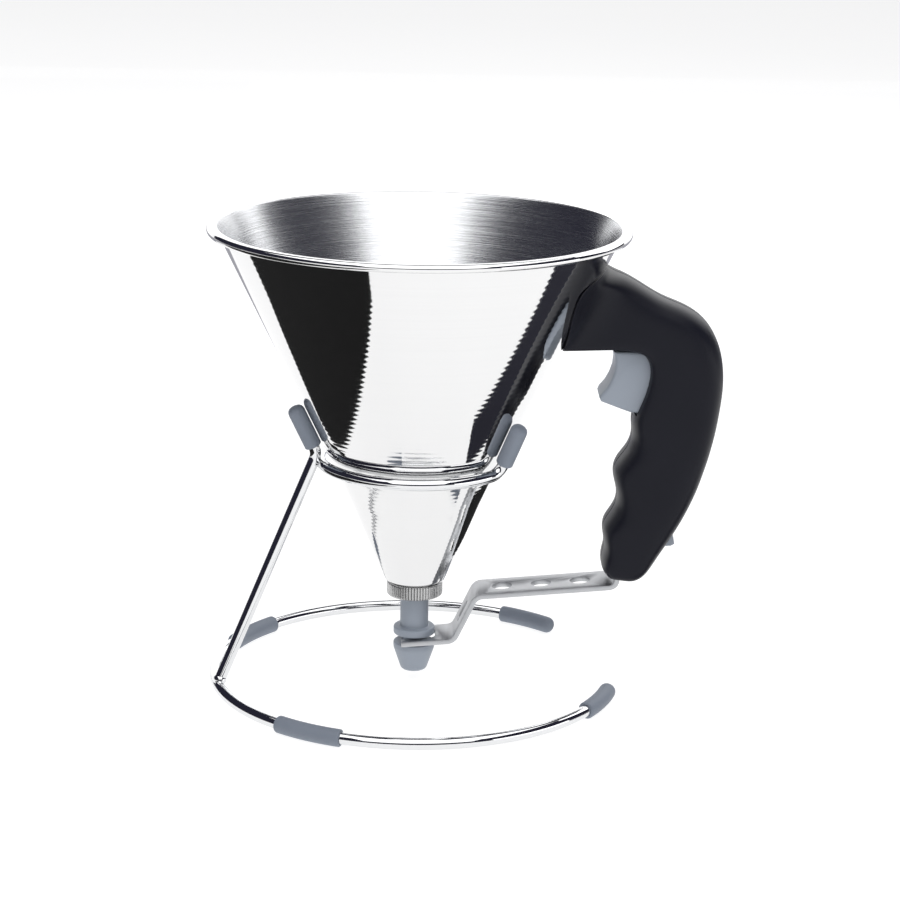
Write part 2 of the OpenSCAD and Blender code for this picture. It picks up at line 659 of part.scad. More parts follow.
module lift_arm() {
    mid = (STRIP[1] + STRIP[2]) / 2;
    color("gainsboro") difference() {
        placed() translate([0, strip_w / 2, 0]) rotate([90, 0, 0])
            linear_extrude(strip_w) ribbon(STRIP, strip_t);
        on_strip([0, tongue(0)], strip_tilt) {
            slot_r = 3;
            translate([-20, -fork_w / 2, -5]) cube([20 + fork_end - slot_r, fork_w, 10]);
            translate([0, slot_r - fork_w / 2, -5]) cube([fork_end, fork_w - 2 * slot_r, 10]);
            for (y = [slot_r - fork_w / 2, fork_w / 2 - slot_r])
                translate([fork_end - slot_r, y, -5]) cylinder(r = slot_r, h = 10, $fn = 48);
        }
        for (i = [0:2]) on_strip([hole_x + i * hole_pitch, flat(hole_x + i * hole_pitch)], strip_tilt)
            cylinder(d = strip_hole_d, h = 10, center = true, $fn = 64);
        on_strip(mid, step_angle) {
            straight = long_hole[1] - long_hole[0];
            cube([straight, long_hole[0], 10], center = true);
            for (end = [-0.5, 0.5]) translate([end * straight, 0, 0])
                cylinder(d = long_hole[0], h = 10, center = true, $fn = 48);
        }
        for (y = [-rivet_y, rivet_y]) placed() translate([strip_up_x - 5, y, rivet_z])
            rotate([0, 90, 0]) cylinder(d = rivet_d + 0.2, h = 10, $fn = 48);
    }
}

module arm_rivets() {
    front = strip_up_x - strip_t / 2;
    color("silver") for (y = [-rivet_y, rivet_y]) placed() translate([front, y, rivet_z])
        rotate([0, 90, 0]) {
            cylinder(d = rivet_d, h = strip_t + 4, $fn = 48);
            translate([0, 0, -rivet_head_t]) cylinder(d = rivet_d * 1.3, h = rivet_head_t, $fn = 48);
        }
}

module trigger() {
    color("lightsteelblue") difference() {
        union() {
            grip_slab(pad_w) polygon(PAD);
            grip_slab(stem_w) polygon(STEM);
            grip_slab(hub_w) polygon(FOOT);
            grip_bar(LEVER_PIN, hub_d, -hub_w / 2, hub_w / 2);
        }
        grip_bar(LEVER_PIN, bush_d + 2 * run_gap, -grip_w, grip_w);
        for (y = [-rivet_y, rivet_y]) placed() translate([strip_up_x, y, rivet_z])
            rotate([0, 90, 0]) cylinder(d = rivet_d + 0.2, h = strip_t / 2 + 4.2, $fn = 48);
    }
}

module lever_bush() {
    color("white") difference() {
        grip_bar(LEVER_PIN, bush_d, -hub_w / 2, hub_w / 2);
        grip_bar(LEVER_PIN, pin_d + 2 * run_gap, -grip_w, grip_w);
    }
}

module lever_pin() {
    color("silver") grip_bar(LEVER_PIN, pin_d, -inner_w - 1, inner_w + 1);
}

module return_spring() {
    r = pin_d / 2 + 0.1 + spring_wire;
    color("silver") placed()
        translate([grip_x + LEVER_PIN[0], hub_w / 2 + spring_wire * 0.7, bridge_z + LEVER_PIN[1]])
            torsion_spring(r, spring_wire, 2, [6, 4.5], 180);
}

// ---------- latch ----------

module release_latch() {
    color("lightsteelblue") difference() {
        union() {
            grip_slab(latch_w) polygon(LATCH);
            grip_bar(LATCH_PIN, latch_pin_d + 1.9, -latch_w / 2, latch_w / 2);
        }
        grip_bar(LATCH_PIN, latch_pin_d + 2 * run_gap, -grip_w, grip_w);
    }
}

module latch_pin() {
    color("silver") grip_bar(LATCH_PIN, latch_pin_d, -inner_w - 1, inner_w + 1);
}

module latch_spring() {
    wire = 0.6;
    color("silver") placed()
        translate([grip_x + LATCH_PIN[0], latch_w / 2 + wire * 0.8, bridge_z + LATCH_PIN[1]])
            torsion_spring(latch_pin_d / 2 + 0.2 + wire, wire, 2, [2.5, 1.5], 90);
}

// ---------- handle ----------

// The half of the handle on the +Y side, with what both halves share
module shell_half() {
    difference() {
        union() {
            difference() {
                grip_wall(3);
                grip_slab(pad_w + 2 * pad_gap) polygon(PAD_SLOT);
                grip_box(LATCH_WINDOW, latch_w + 2 * move_gap);
                grip_box(STRIP_WINDOW, strip_w + 2 * move_gap);
                grip_box(BRACKET_WINDOW, bracket_w + 0.8);
                grip_bar(LEVER_PIN, hub_d + 2 * move_gap, -grip_w, inner_w - 1.4);
            }
            for (i = [0:len(SCREWS) - 1])
                grip_bar(SCREWS[i], boss_d, i == 0 ? bracket_t / 2 + 0.1 : 0, inner_w + 0.5);
            grip_bar(LEVER_PIN, pin_d + 3, inner_w - 0.9, inner_w + 0.5);
            grip_bar(LATCH_PIN, latch_pin_d + 2, latch_w / 2 + 2.6, inner_w + 0.5);
        }
        grip_bar(LEVER_PIN, pin_d + 2 * run_gap, -grip_w, inner_w + 1.1);
        grip_bar(LATCH_PIN, latch_pin_d + 2 * run_gap, -grip_w, inner_w + 1.1);
    }
}

module handle_shell_left() {
    color("dimgray") placed() mirror([0, 1, 0]) translate([centre_x, 0, 0]) difference() {
        shell_half();
        for (s = SCREWS) grip_bar(s, screw_d + 0.2, -1, inner_w + 0.7);
    }
}

module handle_shell_right() {
    color("dimgray") difference() {
        shell_half();
        for (s = SCREWS) {
            grip_bar(s, screw_d + 0.2, -1, grip_w);
            grip_bar(s, screw_head_d + 0.4, half_w - 2, grip_w);
        }
    }
}

// Flanges that spread from the handle's sides over the funnel
module saddle_left() {
    color("dimgray") placed() mirror([0, 1, 0])
        loft([for (s = SADDLE) saddle_row(s[0], saddle_from, s[1])]);
}

module saddle_right() {
    color("dimgray") placed() loft([for (s = SADDLE) saddle_row(s[0], saddle_from, s[1])]);
}

module shell_screws() {
    head_t = 1.6;
    color("silver") for (s = SCREWS) difference() {
        union() {
            grip_bar(s, screw_d, -inner_w + 1, half_w - 1.9);
            grip_bar(s, screw_head_d, half_w - 2, half_w - 2 + head_t);
        }
        grip_bar(s, screw_d * 0.7, half_w - 1.4, grip_w);
    }
}

base_ring();
base_end_caps();
base_sleeves();
support_leg();
leg_sleeve();
cradle_ring();
cradle_sleeves();
funnel_cone();
threaded_spigot();
guide_bush();
collar_gasket();
knurled_collar();
outlet_nozzle();
valve_head();
valve_seal();
lift_arm();
arm_rivets();
trigger();
lever_bush();
lever_pin();
return_spring();
release_latch();
latch_pin();
latch_spring();
cone_bracket();
handle_shell_left();
handle_shell_right();
saddle_left();
saddle_right();
shell_screws();
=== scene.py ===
import json
from math import asin, atan, atan2, cos, degrees, exp, pi, radians, sin, sqrt, tan
import bmesh
import bpy
from mathutils import Matrix, Vector


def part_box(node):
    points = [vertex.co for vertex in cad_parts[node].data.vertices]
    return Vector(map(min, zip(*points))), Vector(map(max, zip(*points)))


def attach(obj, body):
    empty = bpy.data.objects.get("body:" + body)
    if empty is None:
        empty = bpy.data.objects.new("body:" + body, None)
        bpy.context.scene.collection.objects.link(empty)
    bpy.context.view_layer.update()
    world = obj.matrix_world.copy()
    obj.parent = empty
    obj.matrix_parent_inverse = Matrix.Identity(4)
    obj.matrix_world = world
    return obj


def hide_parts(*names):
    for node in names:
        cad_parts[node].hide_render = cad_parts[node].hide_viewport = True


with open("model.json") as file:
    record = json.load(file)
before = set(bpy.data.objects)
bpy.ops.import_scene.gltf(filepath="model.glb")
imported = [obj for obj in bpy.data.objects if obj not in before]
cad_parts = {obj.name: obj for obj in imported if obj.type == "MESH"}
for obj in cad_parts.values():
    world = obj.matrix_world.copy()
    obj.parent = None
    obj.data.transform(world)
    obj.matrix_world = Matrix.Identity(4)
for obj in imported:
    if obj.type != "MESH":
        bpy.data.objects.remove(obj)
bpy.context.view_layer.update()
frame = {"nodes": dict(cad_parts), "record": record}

mm = 0.001
coneLow, coneHigh = (Vector(corner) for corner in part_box("funnel_cone"))
funnelAxis = Vector(((coneLow.x + coneHigh.x) / 2, 0, 0))   # the upright axis through funnel and nozzle
print("frame loaded:", len(frame["nodes"]), "nodes")


# shader maths: a sum or product of these wires adds a Math node
class Wire:
    def __init__(self, finish, socket):
        self.finish = finish
        self.socket = socket

    def maths(self, operation, first, second):
        return self.finish.node("ShaderNodeMath", {"operation": operation}, {0: first, 1: second})

    def __add__(self, other):
        return self.maths("ADD", self, other)

    def __radd__(self, other):
        return self.maths("ADD", other, self)

    def __mul__(self, other):
        return self.maths("MULTIPLY", self, other)


class Finish:
    def __init__(self, name, **constants):
        self.material = bpy.data.materials.new(name)
        self.material.use_nodes = True
        self.tree = self.material.node_tree
        self.shader = self.tree.nodes["Principled BSDF"]
        for label, value in constants.items():   # baseColor sets Base Color
            words = "".join(" " + letter if letter.isupper() else letter for letter in label).title()
            self.shader.inputs[words].default_value = value

    # any node: its settings first, then the values or wires of its sockets
    def node(self, kind, settings=None, sockets=None, output=0):
        made = self.tree.nodes.new(kind)
        for key, value in (settings or {}).items():
            setattr(made, key, value)
        for key, value in (sockets or {}).items():
            self.plug(made.inputs[key], value)
        return Wire(self, made.outputs[output])

    def plug(self, socket, value):
        if isinstance(value, Wire):
            self.tree.links.new(value.socket, socket)
        else:
            socket.default_value = value

    # object coordinates, stretched: a large factor makes the pattern finer along that axis
    def place(self, stretch=(1, 1, 1)):
        here = self.node("ShaderNodeTexCoord", output="Object")
        return self.node("ShaderNodeMapping", {}, {"Vector": here, "Scale": stretch})

    def noise(self, where, scale, detail=3.0, roughness=0.5):
        return self.node("ShaderNodeTexNoise", {}, {"Vector": where, "Scale": scale, "Detail": detail,
            "Roughness": roughness}, "Fac")

    # depth in mm
    def bump(self, height, depth):
        normal = self.node("ShaderNodeBump", {}, {"Height": height, "Distance": depth * mm,
            "Strength": 1.0}, "Normal")
        self.plug(self.shader.inputs["Normal"], normal)

    def roughness(self, value):
        self.plug(self.shader.inputs["Roughness"], value)

    # colour that runs between two with a wire from 0 to 1
    def colour(self, share, low, high):
        mixed = self.node("ShaderNodeMix", {"data_type": "RGBA"}, {0: share, 6: low, 7: high}, 2)
        self.plug(self.shader.inputs["Base Color"], mixed)


def grey(level, blue=0.0):
    return (level, level * (1 + blue * 0.4), level * (1 + blue), 1)


# finishes
def polishedSteel():
    look = {"tone": 0.81, "darkest": 0.97, "roughness": 0.035, "smudge": 0.03, "smudgeScale": 22,
        "pitchLow": 1.15, "pitchGrowth": 0.0075, "ringDepth": 0.0034, "fineDepth": 0.0012, "unit": 0.01,
        "drift": 4.0, "driftScale": 28, "fineRows": (6, 6, 2600)}
    steel = Finish("polishedSteel", metallic=1.0)
    up = steel.node("ShaderNodeSeparateXYZ", {}, {0: steel.place()}, "Z")
    drift = steel.noise(steel.place(), look["driftScale"], 1)
    pitch = up * look["pitchGrowth"] + look["pitchLow"] * mm
    turns = steel.node("ShaderNodeMath", {"operation": "LOGARITHM"}, {0: pitch, 1: exp(1)})
    rings = steel.node("ShaderNodeMath", {"operation": "SINE"},   # shallow rings left by spinning
        {0: turns * (2 * pi / look["pitchGrowth"]) + drift * look["drift"]})
    fine = steel.noise(steel.place(look["fineRows"]), 1.0, 2)
    steel.bump(rings * (look["ringDepth"] / look["unit"]) + fine * (look["fineDepth"] / look["unit"]),
        look["unit"])
    steel.colour(fine, grey(look["tone"] * look["darkest"]), grey(look["tone"]))
    smudge = steel.noise(steel.place(), look["smudgeScale"], 4)
    steel.roughness(look["roughness"] + smudge * look["smudge"])
    return steel.material


def brushedInside():
    look = {"tone": 0.78, "darkest": 0.7, "blue": 0.03, "roughness": 0.2, "spread": 0.12, "depth": 0.05,
        "broadRows": (10, 10, 420), "fineRows": (22, 22, 3200)}
    steel = Finish("brushedInside", metallic=1.0)
    broad = steel.noise(steel.place(look["broadRows"]), 1.0, 4, 0.7)    # streaks follow level rings
    fine = steel.noise(steel.place(look["fineRows"]), 1.0, 2, 0.6)
    steel.bump(broad * 0.5 + fine * 0.9, look["depth"])
    steel.colour(broad, grey(look["tone"] * look["darkest"], look["blue"]), grey(look["tone"], look["blue"]))
    steel.roughness(look["roughness"] + fine * look["spread"])
    return steel.material


def chromeWire():
    chrome = Finish("chromeWire", metallic=1.0, baseColor=grey(0.76, 0.02))
    pebbles = chrome.noise(chrome.place(), 900, 2)
    chrome.bump(pebbles, 0.004)
    chrome.roughness(0.03 + pebbles * 0.03)
    return chrome.material


def satinSteel():
    steel = Finish("satinSteel", metallic=1.0)
    lines = steel.noise(steel.place((60, 2600, 60)), 1.0, 3, 0.6)   # brushed along the strip
    steel.bump(lines, 0.012)
    steel.colour(lines, grey(0.46, 0.05), grey(0.60, 0.05))
    steel.roughness(0.34 + lines * 0.16)
    return steel.material


def knurledSteel():
    steel = Finish("knurledSteel", metallic=1.0)
    grain = steel.noise(steel.place(), 1500, 3)
    steel.colour(grain, grey(0.44), grey(0.62))
    steel.bump(grain, 0.006)
    steel.roughness(0.20 + grain * 0.14)
    return steel.material


def pinSteel():
    steel = Finish("pinSteel", metallic=1.0)
    grain = steel.noise(steel.place((300, 300, 300)), 1.0, 3)
    steel.colour(grain, grey(0.5), grey(0.66))
    steel.roughness(0.25 + grain * 0.15)
    return steel.material


def moulded(name, low, high, roughness, grainSize=1400.0, depth=0.006, shine=0.5):
    plastic = Finish(name)
    plastic.shader.inputs["Specular IOR Level"].default_value = shine
    cloud = plastic.noise(plastic.place(), 60, 3)
    grain = plastic.noise(plastic.place(), grainSize, 3, 0.6)
    plastic.colour(cloud, low, high)
    plastic.bump(grain, depth)
    plastic.roughness(roughness - 0.04 + grain * 0.08)
    return plastic.material


finishes = {
    "polished_steel": polishedSteel(), "chromed_wire": chromeWire(), "satin_steel": satinSteel(),
    "knurled_steel": knurledSteel(), "pin_steel": pinSteel(), "inside": brushedInside(),
    "grey_rubber": moulded("greyRubber", (0.205, 0.235, 0.285, 1), (0.235, 0.265, 0.32, 1), 0.58,
        grainSize=900, depth=0.012),
    "dark_seal_rubber": moulded("sealRubber", grey(0.03), grey(0.05), 0.6),
    "pale_grey_plastic": moulded("paleGreyPlastic", (0.315, 0.355, 0.415, 1), (0.345, 0.385, 0.445, 1),
        0.42),
    "white_bearing_plastic": moulded("bearingPlastic", grey(0.72), grey(0.8), 0.4),
    "black_grip_plastic": moulded("blackGrip", (0.0065, 0.007, 0.0125, 1), (0.009, 0.0095, 0.016, 1),
        0.40, grainSize=1100, depth=0.02, shine=0.17)}
print("finishes made:", len(finishes))


# ways to make a piece: its mesh, the body it rides on, its finish and the nodes it stands in for
def piece(name, bm, body, slotName, materials=None, replaces=(), sharp=38):
    mesh = bpy.data.meshes.new(name)
    bm.to_mesh(mesh)
    bm.free()
    made = bpy.data.objects.new(name, mesh)
    bpy.context.scene.collection.objects.link(made)
    for material in materials or [finishes[slotName]]:
        mesh.materials.append(material)
    mesh.shade_smooth()
    mesh.set_sharp_from_angle(angle=radians(sharp))
    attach(made, body)
    if replaces:
        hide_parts(*replaces)
    return made


# works out the modifiers, so that the piece keeps their result as plain faces
def settled(made, sharp=38):
    bpy.context.view_layer.update()
    old = made.data
    made.data = bpy.data.meshes.new_from_object(made.evaluated_get(bpy.context.evaluated_depsgraph_get()))
    made.data.name = old.name
    made.modifiers.clear()
    made.data.shade_smooth()
    made.data.set_sharp_from_angle(angle=radians(sharp))


def joined(parts):
    whole = bmesh.new()
    for part in parts:
        spare = bpy.data.meshes.new("spare")
        part.to_mesh(spare)
        part.free()
        whole.from_mesh(spare)
        bpy.data.meshes.remove(spare)
    return whole


def cutAway(made, cutters):
    tool = joined(cutters)
    mesh = bpy.data.meshes.new("cutter")
    tool.to_mesh(mesh)
    tool.free()
    cutter = bpy.data.objects.new("cutter", mesh)
    bpy.context.scene.collection.objects.link(cutter)
    cut = made.modifiers.new("cut", "BOOLEAN")
    cut.operation = "DIFFERENCE"
    cut.solver = "EXACT"
    cut.use_self = True
    cut.object = cutter
    settled(made)
    bpy.data.objects.remove(cutter)


# corners of an outline as (x, y) or (x, y, reach), each with a reach turned into a curve
def softened(corners, steps=4):
    result = []
    for before, corner, after in zip(corners[-1:] + corners[:-1], corners, corners[1:] + corners[:1]):
        here = Vector(corner[:2])
        if len(corner) < 3:
            result.append(here)
            continue
        start = here + (Vector(before[:2]) - here).normalized() * corner[2]
        end = here + (Vector(after[:2]) - here).normalized() * corner[2]
        for k in range(steps + 1):
            result.append(start.lerp(here, k / steps).lerp(here.lerp(end, k / steps), k / steps))
    return result


# gives every long straight length a point close to each end, which keeps its shading straight
def braced(outline, least=2.5, reach=0.2):
    result = []
    for here, after in zip(outline, outline[1:] + outline[:1]):
        here, after = Vector(here), Vector(after)
        way = after - here
        result.append(here)
        if way.length > least:
            result += [here + way.normalized() * reach, after - way.normalized() * reach]
    return result


# a closed outline of radius and height in mm, spun round an upright axis
def spun(outline, centre=Vector(), steps=96):
    bm = bmesh.new()
    outline = braced(outline)
    points = [bm.verts.new((centre.x + r * mm, centre.y, centre.z + z * mm)) for r, z in outline]
    edges = [bm.edges.new(pair) for pair in zip(points, points[1:] + points[:1])]
    bmesh.ops.spin(bm, geom=points + edges, cent=centre, axis=(0, 0, 1), angle=2 * pi, steps=steps,
        use_merge=True)
    bmesh.ops.remove_doubles(bm, verts=bm.verts, dist=1e-6)
    bmesh.ops.dissolve_degenerate(bm, edges=bm.edges, dist=1e-7)
    bmesh.ops.recalc_face_normals(bm, faces=bm.faces)
    return bm


# an outline of x and z in mm from an origin, given a width in mm along Y
def slab(outline, origin, width):
    bm = bmesh.new()
    points = [bm.verts.new((origin.x + x * mm, -width / 2 * mm, origin.z + z * mm)) for x, z in outline]
    face = bm.faces.new(points)
    side = bmesh.ops.extrude_face_region(bm, geom=[face])
    moved = [item for item in side["geom"] if isinstance(item, bmesh.types.BMVert)]
    bmesh.ops.translate(bm, verts=moved, vec=(0, width * mm, 0))
    bmesh.ops.recalc_face_normals(bm, faces=bm.faces)
    return bm


# a box between two corners in mm
def block(low, high):
    bm = bmesh.new()
    bmesh.ops.create_cube(bm, size=1)
    low, high = Vector(low) * mm, Vector(high) * mm
    bmesh.ops.scale(bm, verts=bm.verts, vec=high - low)
    bmesh.ops.translate(bm, verts=bm.verts, vec=(low + high) / 2)
    return bm


# a round bar between two points in mm, which may taper
def rod(radius, start, end, segments=48, endRadius=None):
    bm = bmesh.new()
    start, end = Vector(start) * mm, Vector(end) * mm
    bmesh.ops.create_cone(bm, cap_ends=True, segments=segments, radius1=radius * mm,
        radius2=(endRadius or radius) * mm, depth=(end - start).length)
    turn = Vector((0, 0, 1)).rotation_difference(end - start).to_matrix().to_4x4()
    bmesh.ops.transform(bm, matrix=Matrix.Translation((start + end) / 2) @ turn, verts=bm.verts)
    return bm


# a round wire from its start: straight lengths ("run", mm) and bends ("bend", centre, axis, degrees,
# degrees of one step)
def bentWire(radius, start, heading, moves, sides=28):
    bm = bmesh.new()
    first = bmesh.ops.create_circle(bm, segments=sides, radius=radius * mm)["verts"]
    heading = Vector(heading).normalized()
    turn = Vector((0, 0, 1)).rotation_difference(heading).to_matrix().to_4x4()
    bmesh.ops.transform(bm, matrix=Matrix.Translation(Vector(start) * mm) @ turn, verts=first)
    edges = list(bm.edges)
    for kind, *move in moves:
        if kind == "run":
            grown = bmesh.ops.extrude_edge_only(bm, edges=edges)["geom"]
            verts = [item for item in grown if isinstance(item, bmesh.types.BMVert)]
            bmesh.ops.translate(bm, verts=verts, vec=heading * move[0] * mm)
            edges = [item for item in grown if isinstance(item, bmesh.types.BMEdge)
                and all(v in verts for v in item.verts)]
        else:
            centre, axis, angle, stepAngle = move
            verts = list(dict.fromkeys(v for edge in edges for v in edge.verts))
            last = bmesh.ops.spin(bm, geom=verts + edges, cent=Vector(centre) * mm, axis=Vector(axis),
                angle=radians(angle), steps=max(6, round(abs(angle) / stepAngle)))["geom_last"]
            edges = [item for item in last if isinstance(item, bmesh.types.BMEdge)]
            heading = Matrix.Rotation(radians(angle), 3, Vector(axis)) @ heading
    bmesh.ops.holes_fill(bm, edges=[edge for edge in bm.edges if edge.is_boundary], sides=sides)
    bmesh.ops.recalc_face_normals(bm, faces=bm.faces)
    return bm


# stand and funnel, in mm and degrees: openHalf and cradleOpen are half of each hoop's gap
stand = {"wire": 2.25, "sleeve": 3.3, "bore": 2.3, "soft": 0.7, "dome": 2.6, "capEnd": 1.4, "turn": 14.8,
    "ringRadius": 78.0, "openHalf": 28.9, "capArc": 18.5, "sleeveAt": 46.0, "sleeveArc": 20.0,
    "cradleHeight": 89.6, "cradleOpen": 55.0, "cradleBend": 5.0, "legBend": 7.0, "restGap": 0.3,
    "restLength": 17.5, "weldDepth": 0.9, "weldRadius": 2.9, "weldUp": 0.9}
cone = {"rimRadius": 80.0, "bead": 1.45, "mouthRadius": 76.0, "mouthHeight": coneHigh.z / mm - 1.45,
    "waistRadius": 25.3, "waistHeight": coneLow.z / mm + 32.0, "floorRadius": 11.6,
    "floorHeight": coneLow.z / mm, "spigotRadius": 8.55, "wall": 1.0}
wallSlope = (cone["mouthRadius"] - cone["waistRadius"]) / (cone["mouthHeight"] - cone["waistHeight"])
wallAngle = atan(wallSlope)
onStand = Matrix.Translation(funnelAxis) @ Matrix.Rotation(radians(stand["turn"]), 4, "Z")


def wallRadius(height):
    return cone["waistRadius"] + wallSlope * (height - cone["waistHeight"])


# level distance from the axis at which the middle of a sleeve that leans on the wall lies
def restRadius(height):
    return wallRadius(height) + (stand["sleeve"] + stand["restGap"]) / cos(wallAngle)


def onTheStand(bm, matrix=Matrix.Identity(4)):
    bmesh.ops.transform(bm, matrix=onStand @ matrix, verts=bm.verts)
    return bm


# a soft tube along Z from 0 to its length, open below, its top closed or open
def softTube(length, closed):
    outer, bore, soft, end = stand["sleeve"], stand["bore"], stand["soft"], length - stand["capEnd"]
    if closed:
        outline = [(bore, 0), (outer, 0, soft), (outer, length, stand["dome"]), (0, length), (0, end),
            (bore, end)]
    else:
        outline = [(bore, 0), (outer, 0, soft), (outer, length, soft), (bore, length)]
    return spun(softened(outline, 5), steps=40)


# the closed tube of a wire's tip, from a foot along a way
def restTube(foot, way):
    turn = Vector((0, 0, 1)).rotation_difference(way).to_matrix().to_4x4()
    return onTheStand(softTube(stand["restLength"], True), Matrix.Translation(foot * mm) @ turn)


# wraps a tube along Z round the base hoop, from an angle onwards
def wrapped(bm, fromAngle, pieces=12):
    radius = stand["ringRadius"] * mm
    low, high = min(v.co.z for v in bm.verts), max(v.co.z for v in bm.verts)
    for k in range(1, pieces):
        level = low + (high - low) * k / pieces
        bmesh.ops.bisect_plane(bm, geom=bm.verts[:] + bm.edges[:] + bm.faces[:], dist=1e-7,
            plane_co=(0, 0, level), plane_no=(0, 0, 1))
    for vert in bm.verts:
        angle = radians(fromAngle) + vert.co.z / radius
        reach = radius + vert.co.x
        vert.co = Vector((reach * cos(angle), reach * sin(angle), stand["sleeve"] * mm + vert.co.y))
    bmesh.ops.recalc_face_normals(bm, faces=bm.faces)
    return bm


# the hoop on the table, open towards the handle, with a cap on each end and two sleeves
def buildHoop():
    s = stand
    radius, base = s["ringRadius"], s["sleeve"]
    wireFrom = s["openHalf"] + degrees(asin(s["sleeve"] / radius))
    start = (radius * cos(radians(wireFrom)), radius * sin(radians(wireFrom)), base)
    heading = (-sin(radians(wireFrom)), cos(radians(wireFrom)), 0)
    hoop = bentWire(s["wire"], start, heading,
        [("bend", (0, 0, base), (0, 0, 1), 360 - 2 * wireFrom, 2)])
    piece("baseHoop", onTheStand(hoop), "stand", "chromed_wire", replaces=("base_ring",))

    caps = []
    for side in (1, -1):
        cap = softTube(radians(s["capArc"]) * radius, True)
        bmesh.ops.rotate(cap, verts=cap.verts, cent=(0, 0, 0), matrix=Matrix.Rotation(pi, 3, "X"))
        wrapped(cap, s["openHalf"] + s["capArc"])
        if side < 0:
            bmesh.ops.scale(cap, verts=cap.verts, vec=(1, -1, 1))
            bmesh.ops.reverse_faces(cap, faces=cap.faces)
        caps.append(cap)
    piece("hoopCaps", onTheStand(joined(caps)), "stand", "grey_rubber", replaces=("base_end_caps",))

    sleeves = [wrapped(softTube(radians(s["sleeveArc"]) * radius, False),
        180 + side * s["sleeveAt"] - s["sleeveArc"] / 2) for side in (1, -1)]
    piece("hoopSleeves", onTheStand(joined(sleeves)), "stand", "grey_rubber", replaces=("base_sleeves",))


# one wire that leans in from the hoop, bends at the knee and follows the funnel's wall up
def buildLeg():
    s = stand
    radius, base = s["ringRadius"], s["sleeve"]
    across, rise = radius - restRadius(s["cradleHeight"]), s["cradleHeight"] - base
    lean = atan2(across, rise) - asin((2 * s["wire"] - s["weldDepth"]) / sqrt(across ** 2 + rise ** 2))
    kneeHeight = (radius + base * tan(lean) - restRadius(0)) / (tan(lean) + wallSlope)
    knee = Vector((-restRadius(kneeHeight), 0, kneeHeight))
    bendTurn = lean + wallAngle
    tangent = s["legBend"] * tan(bendTurn / 2)
    upLeg = Vector((sin(lean), 0, cos(lean)))
    upTip = Vector((-sin(wallAngle), 0, cos(wallAngle)))
    foot = Vector((-radius, 0, base)) + upLeg * (s["wire"] - s["weldDepth"])
    bendStart = knee - upLeg * tangent
    middle = bendStart - Vector((cos(lean), 0, -sin(lean))) * s["legBend"]
    leg = bentWire(s["wire"], foot, upLeg, [("run", (bendStart - foot).length),
        ("bend", middle, (0, -1, 0), degrees(bendTurn), 5), ("run", s["restLength"] - s["capEnd"])])
    weld = bmesh.new()
    bmesh.ops.create_icosphere(weld, subdivisions=3, radius=s["weldRadius"] * mm)
    bmesh.ops.scale(weld, verts=weld.verts, vec=(0.9, 1, 0.8))
    bmesh.ops.translate(weld, verts=weld.verts, vec=(foot + upLeg * s["weldUp"]) * mm)
    piece("leaningLeg", onTheStand(joined([leg, weld])), "stand", "chromed_wire", replaces=("support_leg",))
    piece("legRest", restTube(knee + upTip * tangent, upTip), "stand", "grey_rubber",
        replaces=("leg_sleeve",))


# the upper hoop: down one upturned end, round the funnel, and up the other end
def buildCradle():
    s = stand
    halfOpen, bend, height = radians(s["cradleOpen"]), s["cradleBend"], s["cradleHeight"]
    ends = []
    for side in (1, -1):
        out = Vector((cos(halfOpen), side * sin(halfOpen), 0))
        along = Vector((-sin(halfOpen), side * cos(halfOpen), 0))
        up = Vector((0, 0, 1)) * cos(wallAngle) + out * sin(wallAngle)
        ends.append((along, up, Vector((0, 0, height)) + out * restRadius(height)))
    (along, up, corner), (alongEnd, upEnd, cornerEnd) = ends
    tipLength = s["restLength"] - s["capEnd"]
    cradle = bentWire(s["wire"], corner - along * bend + up * (bend + tipLength), -up, [("run", tipLength),
        ("bend", corner + up * bend, along.cross(up), 90, 7),
        ("bend", (0, 0, height), (0, 0, 1), 360 - 2 * s["cradleOpen"], 3),
        ("bend", cornerEnd + upEnd * bend, upEnd.cross(alongEnd), 90, 7), ("run", tipLength)])
    piece("cradleHoop", onTheStand(cradle), "stand", "chromed_wire", replaces=("cradle_ring",))
    pads = [restTube(corner - along * bend + up * bend, up) for along, up, corner in ends]
    piece("cradleRests", joined(pads), "stand", "grey_rubber", replaces=("cradle_sleeves",))


buildHoop()
buildLeg()
buildCradle()
print("stand built")


# funnel, collar and nozzle
def buildFunnel():
    c = cone
    across = c["wall"] / cos(wallAngle)
    bead, mouth, top = c["bead"], c["mouthRadius"], c["mouthHeight"]
    beadMiddle, floorTop = c["rimRadius"] - bead, c["floorHeight"] + c["wall"]
    curl = [(beadMiddle + bead * cos(radians(a)), top + bead * sin(radians(a)))
        for a in range(-160, 91, 14)]
    outline = [(c["spigotRadius"], c["floorHeight"]), (c["floorRadius"], c["floorHeight"], 0.8),
        (c["waistRadius"], c["waistHeight"], 1.6), (mouth, top - 0.6, 1.4), *curl,
        (beadMiddle - 0.4, top + bead), (mouth - across + 1.2, top + bead - 0.05, 0.5),
        (mouth - across, top - 1.0, 1.0), (c["waistRadius"] - across, c["waistHeight"], 1.6),
        (c["floorRadius"] - across, floorTop, 0.6), (c["spigotRadius"], floorTop)]
    bm = spun(softened(outline, 6), funnelAxis, 256)
    for face in bm.faces:   # the inside and the floor's top are brushed, the rest is polished
        middle = face.calc_center_median() - funnelAxis
        level = Vector((middle.x, middle.y, 0))
        inside = face.normal.dot(level) < 0 and level.length < (mouth + 0.2) * mm
        floor = face.normal.z > 0.5 and level.length < 20 * mm
        face.material_index = 1 if inside or floor else 0
    piece("funnelWall", bm, "funnel", "polished_steel",
        [finishes["polished_steel"], finishes["inside"]], ("funnel_cone",))


